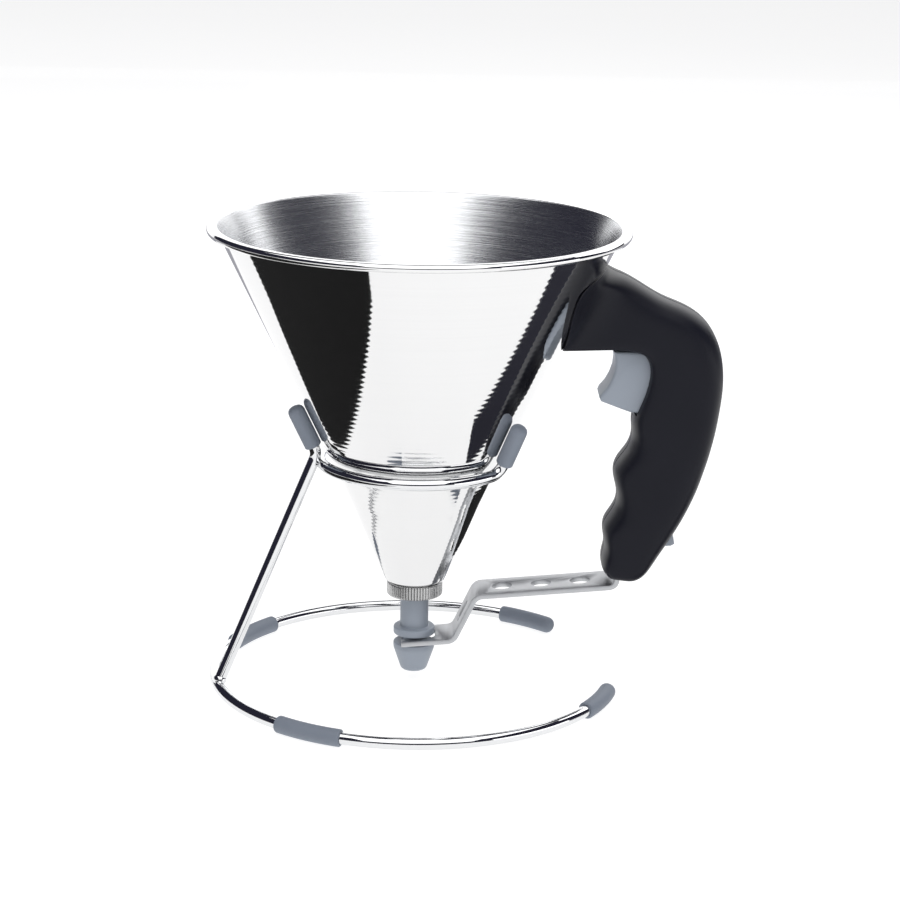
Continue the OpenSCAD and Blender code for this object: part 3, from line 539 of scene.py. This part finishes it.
def buildCollar():
    collar = {"radius": 10.85, "depth": 0.5, "ridges": 60, "stemHole": 6.2, "lip": 1.5}
    low, high = (corner[2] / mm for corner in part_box("knurled_collar"))
    r = collar["radius"]
    outline = [(collar["stemHole"], low), (r - 0.5, low, 0.3), (r, low + 0.5, 0.2), (r, high - 0.5, 0.2),
        (r - 0.5, high, 0.3), (cone["spigotRadius"], high), (cone["spigotRadius"], low + collar["lip"]),
        (collar["stemHole"], low + collar["lip"])]
    steps = collar["ridges"] * 4
    bm = spun(softened(outline, 2), funnelAxis, steps)
    for vert in bm.verts:   # every fourth row of the edge goes in
        flat = Vector((vert.co.x - funnelAxis.x, vert.co.y, 0))
        row = round((atan2(flat.y, flat.x) / (2 * pi)) * steps)
        if flat.length > (r - 0.2) * mm and row % 4 == 0:
            flat *= (r - collar["depth"]) / r
            vert.co.x, vert.co.y = funnelAxis.x + flat.x, flat.y
    piece("knurledNut", bm, "collar", "knurled_steel", replaces=("knurled_collar",), sharp=20)


# radii, and heights over the nozzle's tip
def buildNozzle():
    r = {"bore": 3.0, "wideBore": 3.4, "tip": 4.9, "flange": 8.05, "neck": 4.3, "shank": 5.5, "stud": 2.4,
        "port": 2.0}
    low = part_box("outlet_nozzle")[0][2] / mm
    at = {name: low + height for name, height in (("taper", 9.25), ("groove", 11.45), ("flange", 14.85),
        ("stem", 17.9), ("wide", 31.9), ("port", 36.9), ("boreEnd", 38.9), ("seat", 40.35), ("top", 42.85))}
    outline = [(r["bore"], low, 0.3), (r["tip"], low, 1.3), (r["flange"], at["taper"], 0.5),
        (r["flange"], at["groove"], 0.5), (r["neck"], at["groove"], 0.3), (r["neck"], at["flange"], 0.3),
        (r["flange"], at["flange"], 0.6), (r["flange"], at["stem"], 0.7), (r["shank"], at["stem"], 0.5),
        (r["shank"], at["seat"], 0.2), (r["stud"], at["seat"]), (r["stud"], at["top"], 0.3), (0, at["top"]),
        (0, at["boreEnd"]), (r["wideBore"], at["boreEnd"]), (r["wideBore"], at["wide"]),
        (r["bore"], at["wide"])]
    made = piece("outletNozzle", spun(softened(outline, 5), funnelAxis, 128), "nozzle", "pale_grey_plastic",
        replaces=("outlet_nozzle",))
    port = Vector((funnelAxis.x / mm, 0, at["port"]))
    across = [Vector((cos(radians(a)), sin(radians(a)), 0)) * 12 for a in (45, 135)]
    cutAway(made, [rod(r["port"], port - way, port + way) for way in across])


buildFunnel()
buildCollar()
buildNozzle()
print("funnel, collar and nozzle built")

# handle frame: where the bridge's underside meets the funnel
bridgeHeight = 136.0
handleFrom = Vector((funnelAxis.x + wallRadius(bridgeHeight) * mm, 0, bridgeHeight * mm))


# the strip from the fork in the nozzle's groove up to the trigger, along x from the nozzle's axis
def buildArm():
    arm = {"thick": 1.9, "width": 19.0, "tilt": 5.3, "step": 17.4, "fold": 15.4, "slope": 65.0, "low": 13.1,
        "foldRound": 2.6, "upRound": 3.4, "up": 24.0, "top": 78.8, "slot": 11.0, "slotEnd": 8.3,
        "slotRound": 3.0, "tip": 4.9, "hole": 7.9, "holeAt": 34.2, "pitch": 15.15, "longHole": 2.0,
        "longHalf": 2.5, "edge": 0.28}
    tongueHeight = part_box("outlet_nozzle")[0][2] / mm + arm["low"]
    rise = tan(radians(arm["tilt"]))
    run = arm["step"] / (tan(radians(arm["slope"])) - rise)
    upX = wallRadius(bridgeHeight) + arm["up"] - arm["thick"] / 2

    def tongue(x):
        return tongueHeight + rise * x

    def flat(x):
        return tongue(x) + arm["step"]

    fold2 = arm["fold"] + run
    corners = [(-arm["tip"], tongue(-arm["tip"])), (arm["fold"], tongue(arm["fold"]), arm["foldRound"]),
        (fold2, flat(fold2), arm["foldRound"]), (upX, flat(upX), arm["upRound"]),
        (upX, bridgeHeight - arm["top"])]
    line = softened(corners, 8)
    bm = bmesh.new()
    points = [bm.verts.new((funnelAxis.x + x * mm, -arm["width"] / 2 * mm, z * mm)) for x, z in line]
    edges = [bm.edges.new(pair) for pair in zip(points, points[1:])]
    grown = bmesh.ops.extrude_edge_only(bm, edges=edges)["geom"]
    bmesh.ops.translate(bm, verts=[item for item in grown if isinstance(item, bmesh.types.BMVert)],
        vec=(0, arm["width"] * mm, 0))
    made = piece("liftingArm", bm, "lever", "satin_steel", replaces=("lift_arm",))
    thicken = made.modifiers.new("thicken", "SOLIDIFY")
    thicken.thickness = arm["thick"] * mm
    thicken.offset = 0
    settled(made)
    x0, through, past = funnelAxis.x / mm, 4, 30   # the cutters reach through the strip and past its end
    lift = Vector((-sin(radians(arm["tilt"])), 0, cos(radians(arm["tilt"]))))
    cutters = []
    for k in range(3):
        x = arm["holeAt"] + k * arm["pitch"]
        middle = Vector((x0 + x, 0, flat(x)))
        cutters.append(rod(arm["hole"] / 2, middle - lift * through, middle + lift * through, 64))
    steep = Vector((-sin(radians(arm["slope"])), 0, cos(radians(arm["slope"]))))
    along = Vector((cos(radians(arm["slope"])), 0, sin(radians(arm["slope"]))))
    middle = Vector((x0 + arm["fold"] + run / 2, 0, (tongue(arm["fold"]) + flat(fold2)) / 2))
    longHole = rod(arm["longHole"], middle - steep * through, middle + steep * through, 48)
    for vert in longHole.verts:
        side = 1 if (vert.co - middle * mm).dot(along) > 0 else -1
        vert.co += along * (side * arm["longHalf"] * mm)
    cutters.append(longHole)
    half = arm["slot"] / 2
    ends = softened([(-past, -half), (arm["slotEnd"], -half, arm["slotRound"]),
        (arm["slotEnd"], half, arm["slotRound"]), (-past, half)], 6)
    fork = bmesh.new()
    face = fork.faces.new([fork.verts.new(((x0 + x) * mm, y * mm, (tongue(x) - 5) * mm)) for x, y in ends])
    grown = bmesh.ops.extrude_face_region(fork, geom=[face])["geom"]
    bmesh.ops.translate(fork, verts=[item for item in grown if isinstance(item, bmesh.types.BMVert)],
        vec=(0, 0, 10 * mm))
    bmesh.ops.recalc_face_normals(fork, faces=fork.faces)
    cutters.append(fork)
    cutAway(made, cutters)
    rounding = made.modifiers.new("rounding", "BEVEL")
    rounding.width = arm["edge"] * mm
    rounding.segments = 2
    rounding.limit_method = "ANGLE"
    rounding.angle_limit = radians(50)
    settled(made)


# outlines in the handle's frame, each with its width
def buildTrigger():
    trigger = {"padWidth": 17, "edge": 1.3, "stemWidth": 10, "footWidth": 12, "hub": 4.5, "hubHalf": 6,
        "pivot": (33.1, 0, -79)}
    pad = [(18.6, -0.9), (19.3, -2.9), (19.6, -5.6), (19.3, -8.8), (18.2, -12.2), (16.6, -15.2),
        (14.5, -17.7), (13.9, -19.2), (14.6, -20.6), (20.2, -22.7), (25.6, -24.6), (29, -25), (38, -22),
        (41, -14), (39, -6), (34.6, -1.2), (27, -0.9)]
    stem = [(27.5, -75), (35.4, -26), (34, -18), (41, -12), (41.6, -24), (36.6, -66), (36.4, -76),
        (33.1, -79)]
    foot = [(24, -84.2), (24, -75.8), (33.1, -74.6), (33.1, -82)]
    pivot, hubEnd = handleFrom / mm + Vector(trigger["pivot"]), Vector((0, trigger["hubHalf"], 0))
    fingerPad = slab(pad, handleFrom, trigger["padWidth"])
    bmesh.ops.bevel(fingerPad, geom=[edge for edge in fingerPad.edges
        if abs(edge.verts[0].co.y - edge.verts[1].co.y) < 1e-6], offset=trigger["edge"] * mm, segments=4,
        affect="EDGES", profile=0.5, material=-1)
    parts = [fingerPad, slab(stem, handleFrom, trigger["stemWidth"]),
        slab(foot, handleFrom, trigger["footWidth"]), rod(trigger["hub"], pivot - hubEnd, pivot + hubEnd)]
    piece("fingerTrigger", joined(parts), "lever", "pale_grey_plastic", replaces=("trigger",))


buildArm()
buildTrigger()
print("arm and trigger built")


# handle, in its own frame
# each section of the grip: finger side x and z, back x and z, roundings of both, half width
gripSections = [
    (-2, -1.1, 11, 29.7, 2, 6, 14), (13, -0.6, 23.5, 26.9, 2, 6, 14), (19, -0.3, 30.5, 22.7, 2, 6, 14),
    (24, -0.3, 37, 18.6, 1.8, 6, 14), (28.3, -1.2, 45, 16, 1.8, 6.5, 14), (31.3, -3, 52, 12, 1.8, 7, 14),
    (32.6, -7, 57, 6, 1.8, 8, 14), (32.5, -11.5, 60.2, -2, 1.8, 8, 14), (31.2, -17, 61.3, -11, 1.8, 8, 14),
    (29.2, -22, 61.1, -18, 2, 8, 14), (27.3, -26, 60.4, -24, 3, 8, 14), (26.7, -30, 59.6, -30, 4, 8, 14),
    (27.4, -34, 58.7, -35, 5, 8, 14), (26.7, -38, 57.7, -39.5, 5, 8, 14), (25, -41.5, 56.6, -44, 5, 8, 14),
    (21.9, -45.2, 55.4, -48, 5, 8, 14), (20.5, -48.5, 54.2, -52, 5, 8, 14),
    (20.6, -52, 52.9, -56, 5, 8, 14), (21.9, -56, 51.2, -60.2, 5, 8, 14),
    (22.4, -60, 49.4, -64.3, 5, 8, 14), (21.6, -63.6, 47.5, -68.2, 5, 8, 14),
    (19.3, -67.3, 45.4, -72, 5, 8, 14), (17.3, -70.5, 43.3, -75.6, 4, 7.5, 14),
    (17.1, -74, 41.3, -78.8, 3.5, 7, 14), (18.3, -78.8, 39, -82.3, 3, 6, 14),
    (17.3, -82.5, 37, -85.5, 3, 5, 14), (16.8, -86, 35, -88.4, 3, 4, 14),
    (17.6, -89, 32.7, -90.9, 3, 4, 13.2), (20, -91.4, 29, -92.2, 2, 3, 10.5)]
# height over the bridge's underside and half width of the flange that spreads over the funnel
saddleRows = [(0.4, 14), (2.5, 15), (5, 18), (8, 21.3), (12, 25.5), (15.5, 28.8), (20, 32.3), (26, 35.2),
    (31.5, 37.6), (33.0, 36.8)]
flange = {"gap": 0.4, "edgeThick": 0.7, "edgeTop": 31.0, "rootThick": 1.2, "rootTop": 29.6,
    "rootShare": 0.15}
crown = 10.0   # how far from the sides the rounding of front and back starts


# one side of a section, from the finger side round to the back
def halfRing(section, shrink=0.0):
    fx, fz, bx, bz, fingerRound, backRound, half = section
    front, back = Vector((fx, 0, fz)), Vector((bx, 0, bz))
    way = (back - front).normalized()
    front, back, half = front + way * shrink, back - way * shrink, half - shrink
    straight = max(half - crown, 0.5)
    ring = [front, front + Vector((0, straight, 0))]
    for a in (25, 50, 72):
        ring.append(front + way * fingerRound * (1 - cos(radians(a)))
            + Vector((0, straight + (half - straight) * sin(radians(a)), 0)))
    inner, outer = front + way * fingerRound * 1.15, back - way * backRound * 1.15
    for k in (0.08, 0.36, 0.64, 0.92):
        ring.append(inner.lerp(outer, k) + Vector((0, half, 0)))
    for a in (72, 50, 25):
        ring.append(back - way * backRound * (1 - cos(radians(a)))
            + Vector((0, straight + (half - straight) * sin(radians(a)), 0)))
    return ring + [back + Vector((0, straight, 0)), back]


# the flange's half width at a height
def saddleHalf(height):
    for (low, narrow), (high, wide) in zip(saddleRows, saddleRows[1:]):
        if height <= high:
            return narrow + (wide - narrow) * max(0, height - low) / (high - low)
    return saddleRows[-1][1]


# a ring laid on the funnel: a share of the way out to the flange's edge, its thickness and its top
def saddleRing(share, thickness, topside):
    ring = []
    underside, upperside, narrow = gripSections[0][1], gripSections[0][3], gripSections[0][6]
    for point in halfRing(gripSections[0]):
        height = underside + (topside - underside) * (point.z - underside) / (upperside - underside)
        side = point.y / narrow
        y = point.y + (saddleHalf(height) - narrow) * share * side ** 1.5
        thick = thickness * (0.35 + 0.65 * min(1, side + 0.35))   # thinner at the middle
        radius = wallRadius(bridgeHeight + height) + flange["gap"] + thick
        ring.append(Vector((sqrt(radius ** 2 - y ** 2) - wallRadius(bridgeHeight), y, height)))
    return ring


# the hollow sweep from the flange's edge on the funnel to the first free section of the bridge
def flaredRings():
    edge = saddleRing(1.0, flange["edgeThick"], flange["edgeTop"])
    root = saddleRing(flange["rootShare"], flange["rootThick"], flange["rootTop"])
    bridge = halfRing(gripSections[1])
    rings = [saddleRing(1.0, 0.0, flange["edgeTop"])]
    for u in (0.0, 0.16, 0.34, 0.54, 0.76, 1.0):
        rings.append([a * (1 - u) ** 2 + b * (2 * u * (1 - u)) + c * u ** 2
            for a, b, c in zip(edge, root, bridge)])
    return rings


# a closed skin through the rings, each mirrored to its other side
def loftedGrip(rings):
    bm = bmesh.new()
    rows = []
    for ring in rings:
        whole = ring + [Vector((p.x, -p.y, p.z)) for p in reversed(ring[1:-1])]
        rows.append([bm.verts.new(handleFrom + p * mm) for p in whole])
    loops = [[bm.edges.new(pair) for pair in zip(row, row[1:] + row[:1])] for row in rows]
    for low, high in zip(loops, loops[1:]):
        bmesh.ops.bridge_loops(bm, edges=low + high)
    for row in (rows[0], rows[-1]):   # rungs from side to side close both ends
        count = len(row)
        half = count // 2
        for k in range(half - 1):
            quad = [row[k], row[k + 1], row[(count - k - 1) % count], row[(count - k) % count]]
            bm.faces.new(list(dict.fromkeys(quad)))
        bm.faces.new([row[half - 1], row[half], row[half + 1]])
    bmesh.ops.recalc_face_normals(bm, faces=bm.faces)
    return bm


def smoothGrip(bm, name, levels):
    mesh = bpy.data.meshes.new(name)
    bm.to_mesh(mesh)
    bm.free()
    made = bpy.data.objects.new(name, mesh)
    bpy.context.scene.collection.objects.link(made)
    smooth = made.modifiers.new("smooth", "SUBSURF")
    smooth.levels = levels
    smooth.render_levels = levels
    settled(made, 60)
    result = bmesh.new()
    result.from_mesh(made.data)
    bpy.data.objects.remove(made)
    return result


# two half shells, hollow, with windows for the trigger, latch, arm and bracket; places in the handle's frame
def buildHandle():
    shell = {"wall": 2.4, "wallGap": 0.3, "seam": 0.1, "seamDepth": 0.5, "screwRadius": 2.7, "screwFloor": 12,
        "screws": [(31, 9.5), (47, 1), (48, -36), (29.6, -87.2)], "padWidth": 18.2,
        "padSlot": [(16, 2.6), (44, 2.6), (44, -20), (38, -26), (10, -26)],
        "latch": ((38, -3.6, -80.6), (49, 3.6, -71.4)), "arm": ((18.6, -10.1, -96), (26.4, 10.1, -85)),
        "bracket": ((-14, -9.4, 3.6), (22, 9.4, 24.4))}
    rings = flaredRings() + [halfRing(section) for section in gripSections[2:]]
    inner = [halfRing(section, shell["wall"]) for section in gripSections[1:-1]]
    outer, cavity = smoothGrip(loftedGrip(rings), "grip", 2), smoothGrip(loftedGrip(inner), "cavity", 1)
    h = handleFrom / mm
    axis, low, high = funnelAxis.x / mm, bridgeHeight - 15, bridgeHeight + 42
    funnelSide = rod(wallRadius(low) + shell["wallGap"], (axis, 0, low), (axis, 0, high), 256,
        wallRadius(high) + shell["wallGap"])
    windows = [cavity, funnelSide, slab(shell["padSlot"], handleFrom, shell["padWidth"])]
    windows += [block(h + Vector(corner), h + Vector(far))
        for corner, far in (shell["latch"], shell["arm"], shell["bracket"])]
    for side, name, nodes in ((-1, "gripShellLeft", ("handle_shell_left", "saddle_left")),
            (1, "gripShellRight", ("handle_shell_right", "saddle_right"))):
        half = outer.copy()
        for reach, clear in ((0.75, False), (0.45, False), (shell["seam"], True)):
            bmesh.ops.bisect_plane(half, geom=half.verts[:] + half.edges[:] + half.faces[:], dist=1e-7,
                plane_co=(0, side * reach * mm, 0), plane_no=(0, side, 0), clear_inner=clear)
        half.normal_update()
        seam = [edge for edge in half.edges if edge.is_boundary]
        for vert in {vert for edge in seam for vert in edge.verts}:   # a shallow groove where the halves meet
            inward = Vector((vert.normal.x, 0, vert.normal.z)).normalized()
            vert.co -= inward * shell["seamDepth"] * mm
        bmesh.ops.triangle_fill(half, edges=seam, use_beauty=False, use_dissolve=False,
            normal=Vector((0, -side, 0)))
        bmesh.ops.recalc_face_normals(half, faces=half.faces)
        made = piece(name, half, "funnel", "black_grip_plastic", replaces=nodes)
        cutters = [window.copy() for window in windows]
        if side > 0:
            cutters += [rod(shell["screwRadius"], h + Vector((x, shell["screwFloor"], z)),
                h + Vector((x, 20, z))) for x, z in shell["screws"]]
        cutAway(made, cutters)
    outer.free()
    for window in windows:
        window.free()


buildHandle()
print("handle built")

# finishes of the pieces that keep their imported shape
for entry in frame["record"]["subparts"]:
    node = frame["nodes"][entry["node"]]
    for place in node.material_slots:
        place.material = finishes[entry["material_slot"]]
print("finishes given to the packed pieces")


# studio
def emitting(name, colour, strength):
    glow = bpy.data.materials.new(name)
    glow.use_nodes = True
    shader = glow.node_tree.nodes["Principled BSDF"]
    shader.inputs["Base Color"].default_value = colour
    shader.inputs["Roughness"].default_value = 1.0
    shader.inputs["Emission Color"].default_value = colour
    shader.inputs["Emission Strength"].default_value = strength
    return glow


# a flat card from its corners in mm, which only reflections show unless it is seen
def card(name, corners, colour, strength=0.0, seen=False):
    bm = bmesh.new()
    bm.faces.new([bm.verts.new(Vector(corner) * mm) for corner in corners])
    mesh = bpy.data.meshes.new(name)
    bm.to_mesh(mesh)
    bm.free()
    made = bpy.data.objects.new(name, mesh)
    bpy.context.scene.collection.objects.link(made)
    mesh.materials.append(emitting(name, colour, strength))
    if not seen:
        made.visible_camera = False
        made.visible_diffuse = False
        made.visible_shadow = False


def softbox(name, place, aim, size, power):
    lamp = bpy.data.lights.new(name, "AREA")
    lamp.shape = "RECTANGLE"
    lamp.size, lamp.size_y = size
    lamp.energy = power
    made = bpy.data.objects.new(name, lamp)
    bpy.context.scene.collection.objects.link(made)
    made.location = Vector(place) * mm
    made.rotation_euler = (Vector(aim) * mm - made.location).to_track_quat("-Z", "Y").to_euler()


def buildStudio():
    white, black, navy = (1, 1, 1, 1), (0.002, 0.002, 0.002, 1), (0.012, 0.012, 0.022, 1)
    far, flagHeight = 9000, 0.25
    card("paleFloor", [(-far, -far, 0), (far, -far, 0), (far, far, 0), (-far, far, 0)],
        (0.3, 0.3, 0.3, 1), 2.9, seen=True)
    left = [(-107, -260), (-105, -148), (-99, -137), (-104, -113), (-114, -82), (-124, -52), (-133, -21),
        (-143, 39), (-150, 75), (-166, 108), (-192, 118), (-222, 128), (-257, 132), (-283, 145),
        (-900, 600), (-1500, -260)]
    card("leftFlag", [(x, y, flagHeight) for x, y in left], black)
    right = [(81, -54), (109, -41), (148, -24), (181, -12), (230, 0), (260, 100), (215, 75), (179, 77),
        (150, 46), (121, 19), (68, -30)]
    card("rightFlag", [(x, y, flagHeight) for x, y in right], navy)
    rear = [(50, 22), (78, 22), (96, 140), (30, 140)]
    card("rearFlag", [(x, y, flagHeight) for x, y in rear], black)
    card("backSweep", [(-1700, 2000, 0), (1700, 2000, 0), (1700, 2000, 520), (1000, 2000, 1000),
        (-1000, 2000, 1000), (-1700, 2000, 520)], white, 0.62)
    for name, low, high, tone in (("leftShade", -2600, -150, 0.2), ("middleShade", -150, 140, 0.6),
            ("rightShade", 140, 2600, 0.2)):   # on the floor behind the object
        corners = [(low, 430), (high, 430), (high * 1.5, 1900), (low, 1900)]
        card(name, [(x, y, flagHeight) for x, y in corners], (tone, tone, tone * 1.1, 1), 1.0)
    card("sideGlow", [(1000, -1100, 0), (1500, 40, 0), (1500, 40, 330), (1000, -1100, 330)], white, 1.0)
    softbox("topBox", (0, -60, 1500), (0, 0, 60), (2.2, 1.9), 22)
    softbox("frontBox", (60, -1150, 1150), (0, 0, 150), (1.7, 1.1), 9)
    softbox("backBox", (900, 1150, 1000), (60, 0, 100), (1.4, 0.9), 8)
    world = bpy.data.worlds.new("studio")
    bpy.context.scene.world = world
    world.use_nodes = True
    nodes, links = world.node_tree.nodes, world.node_tree.links
    seen = nodes.new("ShaderNodeLightPath")
    shade = nodes.new("ShaderNodeMix")
    shade.data_type = "RGBA"
    shade.inputs[6].default_value = (0.022, 0.022, 0.036, 1)
    shade.inputs[7].default_value = white   # what the camera itself sees
    links.new(seen.outputs["Is Camera Ray"], shade.inputs[0])
    links.new(shade.outputs[2], nodes["Background"].inputs["Color"])
    bpy.context.scene.view_settings.view_transform = "Standard"


def buildCamera():
    view = {"place": (-11.36, -928.5, 347.6), "pitch": 0.2674, "yaw": -0.0065, "roll": 0.0182}
    turn = Matrix.Rotation(view["yaw"], 3, "Z") @ Matrix.Rotation(-view["pitch"], 3, "X")
    right, forward, up = turn.col
    tilt, lean = cos(view["roll"]), sin(view["roll"])
    data = bpy.data.cameras.new("camera")
    data.lens, data.sensor_width = 100, 36
    data.clip_end = 40
    made = bpy.data.objects.new("camera", data)
    bpy.context.scene.collection.objects.link(made)
    axes = Matrix((right * tilt + up * lean, up * tilt - right * lean, -forward)).transposed()
    made.matrix_world = Matrix.Translation(Vector(view["place"]) * mm) @ axes.to_4x4()
    bpy.context.scene.camera = made


buildStudio()
buildCamera()
print("studio and camera ready")
